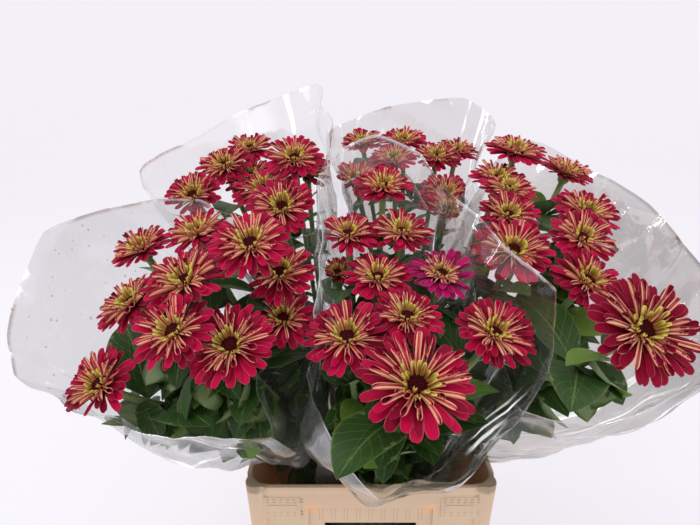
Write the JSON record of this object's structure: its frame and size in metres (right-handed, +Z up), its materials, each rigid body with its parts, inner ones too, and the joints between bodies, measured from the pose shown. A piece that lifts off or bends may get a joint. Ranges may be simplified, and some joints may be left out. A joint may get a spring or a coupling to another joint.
{
  "type": "sleeved zinnia bunches in a flower crate",
  "caption": "Bunches of cut zinnias in clear film sleeves, standing in the water of a tapered plastic flower crate with hand-holes.",
  "frame": {"origin": "the middle of the crate's flat underside", "axes": "+Z up; -Y towards the crate's short side that faces the viewer; +X to that viewer's right"},
  "size_m": [0.75, 0.6031, 0.754],
  "materials": {
    "crate_plastic": "satin moulded plastic, worn on its corners",
    "water": "still water",
    "clear_film": "clear crinkled flower film",
    "rubber_band": "matt rubber",
    "leaf_and_stem": "satin green leaves and stems",
    "petals": "velvety crimson petals with peach undersides"
  },
  "bodies": {
    "root": {"band_a": "rubber_band", "band_b": "rubber_band", "band_c": "rubber_band", "band_d": "rubber_band", "band_e": "rubber_band", "bloom_a1": "petals", "bloom_a10": "petals", "bloom_a2": "petals", "bloom_a3": "petals", "bloom_a4": "petals", "bloom_a5": "petals", "bloom_a6": "petals", "bloom_a7": "petals", "bloom_a8": "petals", "bloom_a9": "petals", "bloom_b1": "petals", "bloom_b2": "petals", "bloom_b3": "petals", "bloom_b4_6": "petals", "bloom_b5": "petals", "bloom_b7": "petals", "bloom_b8": "petals", "bloom_c1": "petals", "bloom_c2": "petals", "bloom_c3": "petals", "bloom_c4": "petals", "bloom_c5": "petals", "bloom_c6": "petals", "bloom_c7_8": "petals", "bloom_d1": "petals", "bloom_d10": "petals", "bloom_d2": "petals", "bloom_d3_4": "petals", "bloom_d5": "petals", "bloom_d6": "petals", "bloom_d7": "petals", "bloom_d8": "petals", "bloom_d9": "petals", "bloom_e1": "petals", "bloom_e10": "petals", "bloom_e2": "petals", "bloom_e3": "petals", "bloom_e4": "petals", "bloom_e5": "petals", "bloom_e6": "petals", "bloom_e7": "petals", "bloom_e8": "petals", "bloom_e9": "petals", "crate": "crate_plastic", "foliage_a": "leaf_and_stem", "foliage_b": "leaf_and_stem", "foliage_c": "leaf_and_stem", "foliage_d": "leaf_and_stem", "foliage_e": "leaf_and_stem", "sleeve_a": "clear_film", "sleeve_b": "clear_film", "sleeve_c": "clear_film", "sleeve_d": "clear_film", "sleeve_e": "clear_film", "water": "water"}
  },
  "joints": []
}
